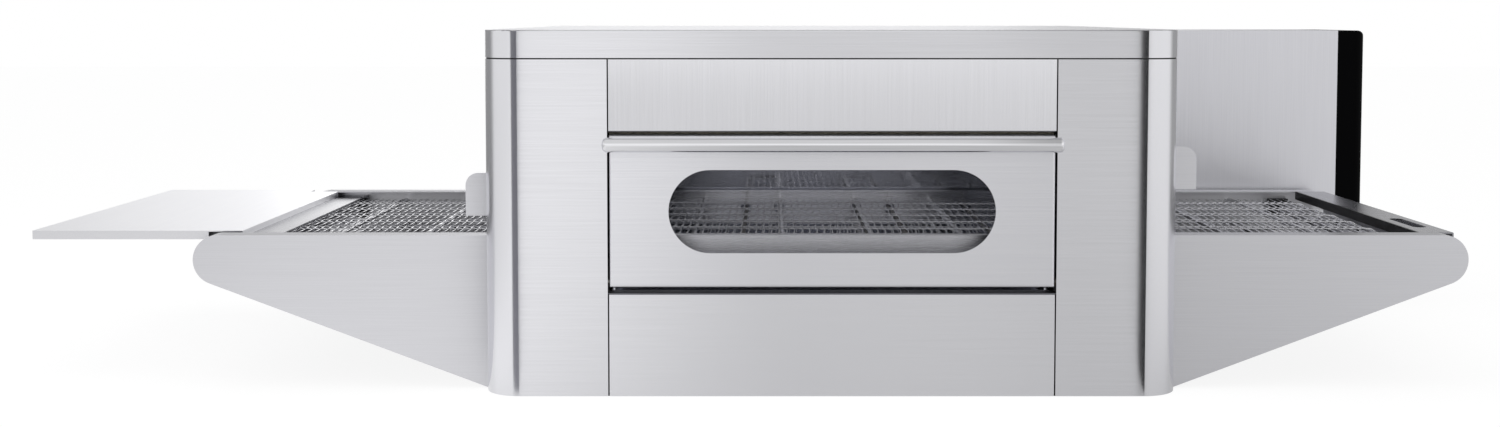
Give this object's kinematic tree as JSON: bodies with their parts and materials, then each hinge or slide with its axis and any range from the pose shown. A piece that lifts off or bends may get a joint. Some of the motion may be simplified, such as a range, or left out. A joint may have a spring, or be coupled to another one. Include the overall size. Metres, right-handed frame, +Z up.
{
  "type": "conveyor oven",
  "caption": "Tunnel oven on a flat base: a wire belt carries food through a heated chamber with a glazed drop-down door, an entry shelf and a rear control box.",
  "frame": {"origin": "centre of the casing's flat underside, at the height of the surface it stands on", "axes": "+X along the belt towards its exit end, the door faces -Y, +Z up"},
  "size_m": [2.175, 0.9427, 0.515],
  "materials": {
    "brushed_stainless": "brushed, satin",
    "polished_steel": "polished",
    "chamber_steel": "bright rolled sheet",
    "belt_wire": "drawn wire, heat darkened",
    "dark_strip": "matt black",
    "painted_steel": "grey primer",
    "element_tube": "oxidised",
    "ceramic": "unglazed",
    "ceramic_wool": "felted",
    "door_glass": "clear tempered",
    "silicone_seal": "matt",
    "black_moulding": "gloss moulded",
    "display": "gloss",
    "bronze": "machined",
    "cast_motor": "cast, painted",
    "electrical_plastic": "moulded",
    "circuit_board": "coated",
    "start_green": "moulded",
    "stop_red": "moulded"
  },
  "bodies": {
    "oven": {"base_pan": "brushed_stainless", "frame": "painted_steel", "top_cap": "brushed_stainless", "left_side_panel": "brushed_stainless", "right_side_panel": "brushed_stainless", "back_panel": "brushed_stainless", "panel_screws": "polished_steel", "upper_fascia": "brushed_stainless", "lower_fascia": "brushed_stainless", "vent_strip": "dark_strip", "door_sill": "brushed_stainless", "hinge_bushes": "bronze", "chamber_liner": "chamber_steel", "insulation": "ceramic_wool", "heating_elements": "element_tube", "element_bushes": "ceramic", "chamber_rails": "brushed_stainless", "left_near_wing": "brushed_stainless", "left_far_wing": "brushed_stainless", "right_near_wing": "brushed_stainless", "right_far_wing": "brushed_stainless", "conveyor_belt": "belt_wire", "shaft_bearings": "bronze", "belt_supports": "polished_steel", "entry_cover": "brushed_stainless", "exit_cover": "brushed_stainless", "exit_bar": "dark_strip", "shutter_nuts": "polished_steel", "box_shell": "brushed_stainless", "control_bezel": "black_moulding", "control_face": "black_moulding", "display_glass": "display", "drive_chain": "belt_wire", "motor_bracket": "painted_steel", "gear_motor": "cast_motor", "contactors": "electrical_plastic", "control_board": "circuit_board", "fan_housing": "black_moulding", "cable_gland": "black_moulding"},
    "door": {"door_skin": "brushed_stainless", "door_inner": "brushed_stainless", "window_panes": "door_glass", "door_seal": "silicone_seal", "handle_tube": "brushed_stainless", "handle_ends": "polished_steel", "handle_posts": "polished_steel", "hinge_pins": "polished_steel"},
    "entry_shutter": {"left_shutter": "brushed_stainless"},
    "exit_shutter": {"right_shutter": "brushed_stainless"},
    "entry_shaft": {"idler_shaft": "polished_steel", "idler_wheels": "belt_wire"},
    "exit_shaft": {"drive_shaft": "polished_steel", "drive_wheels": "belt_wire"},
    "motor_output": {"motor_sprocket": "belt_wire"},
    "fan": {"fan_rotor": "black_moulding"},
    "entry_shelf": {"shelf": "brushed_stainless"},
    "entry_tray": {"left_crumb_tray": "brushed_stainless"},
    "exit_tray": {"right_crumb_tray": "brushed_stainless"},
    "start_button": {"power_button": "start_green"},
    "stop_button": {"emergency_stop": "stop_red"}
  },
  "joints": [
    {"name": "door_hinge", "type": "hinge", "parent": "oven", "child": "door", "pos_m": [0, -0.428, 0.161], "axis": [1, 0, 0], "range_deg": [0, 90]},
    {"name": "entry_shutter_slide", "type": "slide", "parent": "oven", "child": "entry_shutter", "axis": [0, 0, 1], "range_m": [0, 0.038]},
    {"name": "exit_shutter_slide", "type": "slide", "parent": "oven", "child": "exit_shutter", "axis": [0, 0, 1], "range_m": [-0.038, 0]},
    {"name": "drive_spin", "type": "hinge", "parent": "oven", "child": "exit_shaft", "pos_m": [0.828, 0, 0.1887], "axis": [0, 1, 0], "continuous": true},
    {"name": "idler_spin", "type": "hinge", "parent": "oven", "child": "entry_shaft", "pos_m": [-0.828, 0, 0.1887], "axis": [0, 1, 0], "continuous": true},
    {"name": "motor_spin", "type": "hinge", "parent": "oven", "child": "motor_output", "pos_m": [0.828, 0, 0.345], "axis": [0, 1, 0], "continuous": true},
    {"name": "fan_spin", "type": "hinge", "parent": "oven", "child": "fan", "pos_m": [0.831, 0.42, 0.4], "axis": [0, 1, 0], "continuous": true},
    {"name": "shelf_lift", "type": "slide", "parent": "oven", "child": "entry_shelf", "axis": [0, 0, 1], "range_m": [0, 0.15]},
    {"name": "entry_tray_slide", "type": "slide", "parent": "oven", "child": "entry_tray", "axis": [-1, 0, 0], "range_m": [0, 0.3]},
    {"name": "exit_tray_slide", "type": "slide", "parent": "oven", "child": "exit_tray", "axis": [1, 0, 0], "range_m": [0, 0.3]},
    {"name": "start_button_press", "type": "slide", "parent": "oven", "child": "start_button", "axis": [-1, 0, 0], "range_m": [0, 0.003], "stiffness_N_per_m": 400, "springref_m": -0.002},
    {"name": "stop_button_press", "type": "slide", "parent": "oven", "child": "stop_button", "axis": [-1, 0, 0], "range_m": [0, 0.005]}
  ],
  "couplings": [
    {"joint": "idler_spin", "follows": "drive_spin", "ratio": 1},
    {"joint": "motor_spin", "follows": "drive_spin", "ratio": 1}
  ]
}
